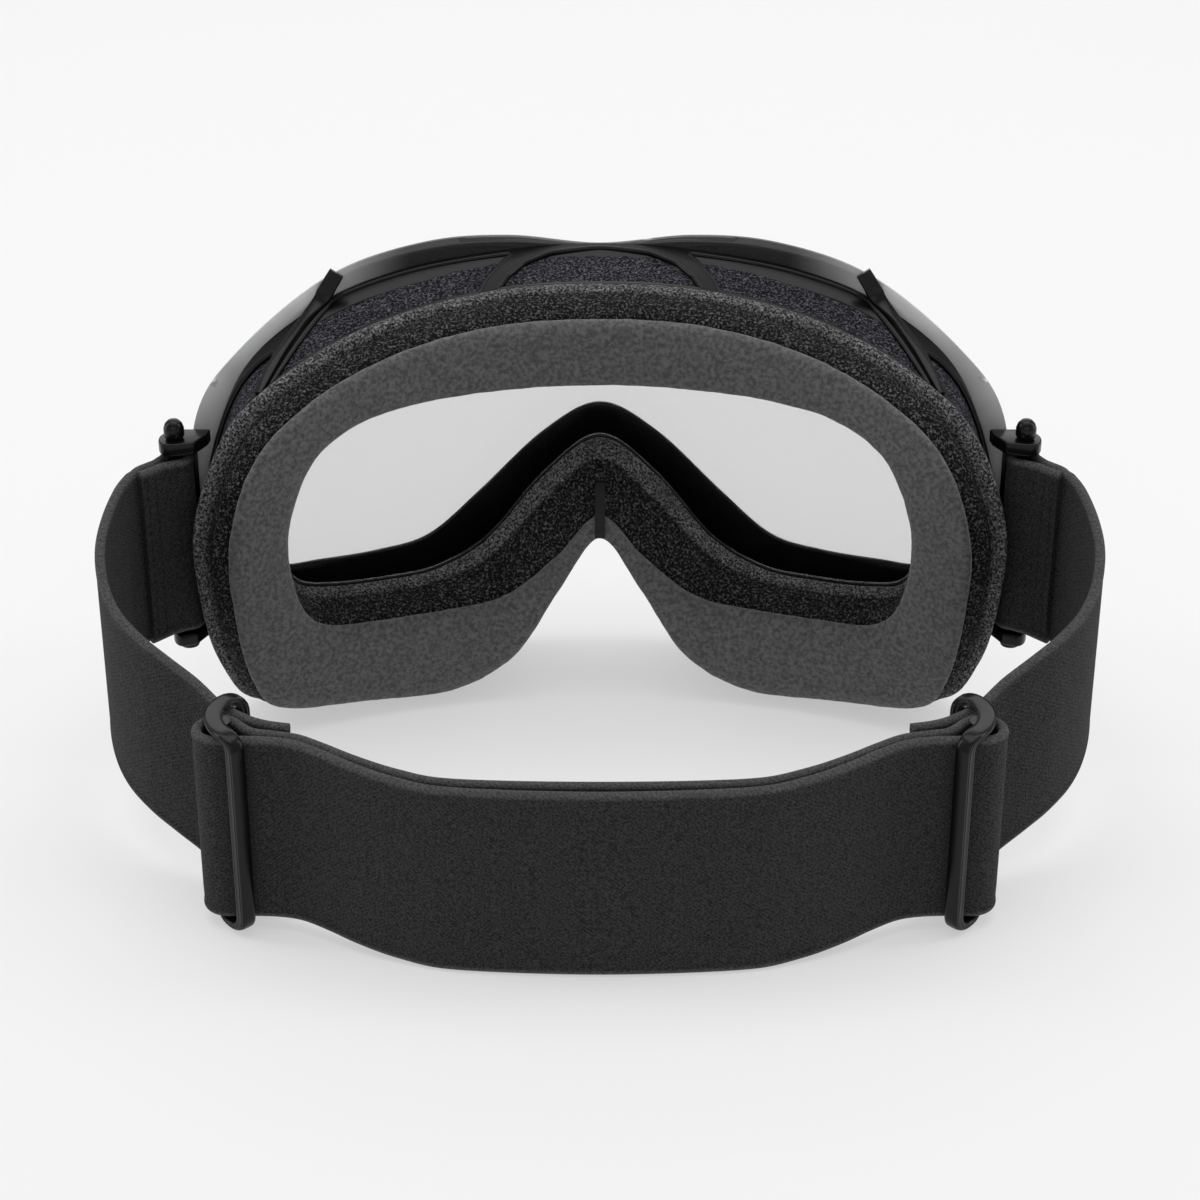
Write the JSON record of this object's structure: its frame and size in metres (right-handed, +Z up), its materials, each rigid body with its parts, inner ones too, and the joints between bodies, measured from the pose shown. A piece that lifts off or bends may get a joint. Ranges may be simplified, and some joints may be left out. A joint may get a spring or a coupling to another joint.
{
  "type": "ski goggles",
  "caption": "Ski goggles standing on a table: flexible frame, clear double lens, layered face foam, vent foams and an adjustable elastic strap.",
  "frame": {"origin": "middle of the bottom of the whole object, on the plane it stands on", "axes": "+Z up, +Y the way the wearer looks, +X to the wearer's right; left and right in node names are the wearer's"},
  "size_m": [0.2034, 0.1426, 0.0998],
  "materials": {
    "frame": "satin black moulded TPU",
    "outer_lens": "clear polycarbonate with a hard glossy coat",
    "inner_lens": "clear thin sheet with an anti-fog face",
    "lens_spacer": "matt black closed-cell foam",
    "face_fleece": "dark grey brushed fleece",
    "face_foam_core": "black open-cell foam",
    "face_foam_base": "dark grey dense foam",
    "nose_seam": "matt black glued tape",
    "vent_foam": "charcoal open-cell foam",
    "elastic": "charcoal woven elastic, matt",
    "hard_plastic": "black acetal, satin to glossy"
  },
  "bodies": {
    "goggles": {"frame": "frame", "outer_lens": "outer_lens", "inner_lens": "inner_lens", "lens_spacer": "lens_spacer", "face_fleece": "face_fleece", "face_foam_core": "face_foam_core", "face_foam_base": "face_foam_base", "nose_seam_strip": "nose_seam", "vent_foam_top_centre": "vent_foam", "vent_foam_top_left": "vent_foam", "vent_foam_top_right": "vent_foam", "vent_foam_side_left": "vent_foam", "vent_foam_side_right": "vent_foam", "vent_foam_bottom_left": "vent_foam", "vent_foam_bottom_right": "vent_foam", "back_band_outer": "elastic", "back_band_inner": "elastic", "side_strap_left": "elastic", "side_strap_right": "elastic", "strap_tail_left": "elastic", "strap_tail_right": "elastic", "outrigger_left": "hard_plastic", "outrigger_right": "hard_plastic", "strap_rod_left": "hard_plastic", "strap_rod_right": "hard_plastic"},
    "sewn_end_left": {"strap_end_left": "elastic"},
    "sewn_end_right": {"strap_end_right": "elastic"},
    "adjuster_left": {"slider_left": "hard_plastic", "band_end_left": "elastic"},
    "adjuster_right": {"slider_right": "hard_plastic", "band_end_right": "elastic"}
  },
  "joints": [
    {"name": "sewn_end_left_turn", "type": "hinge", "parent": "goggles", "child": "sewn_end_left", "pos_m": [-0.089, 0.0245, 0.0454], "axis": [0, 0, 1], "range_deg": [-20, 20]},
    {"name": "sewn_end_right_turn", "type": "hinge", "parent": "goggles", "child": "sewn_end_right", "pos_m": [0.089, 0.0245, 0.0454], "axis": [0, 0, 1], "range_deg": [-20, 20]},
    {"name": "adjuster_left_slide", "type": "slide", "parent": "goggles", "child": "adjuster_left", "axis": [-0.7725, 0.635, 0], "range_m": [0, 0.012], "deforming": ["strap_tail_left"]},
    {"name": "adjuster_right_slide", "type": "slide", "parent": "goggles", "child": "adjuster_right", "axis": [0.7725, 0.635, 0], "range_m": [0, 0.012], "deforming": ["strap_tail_right"]}
  ]
}
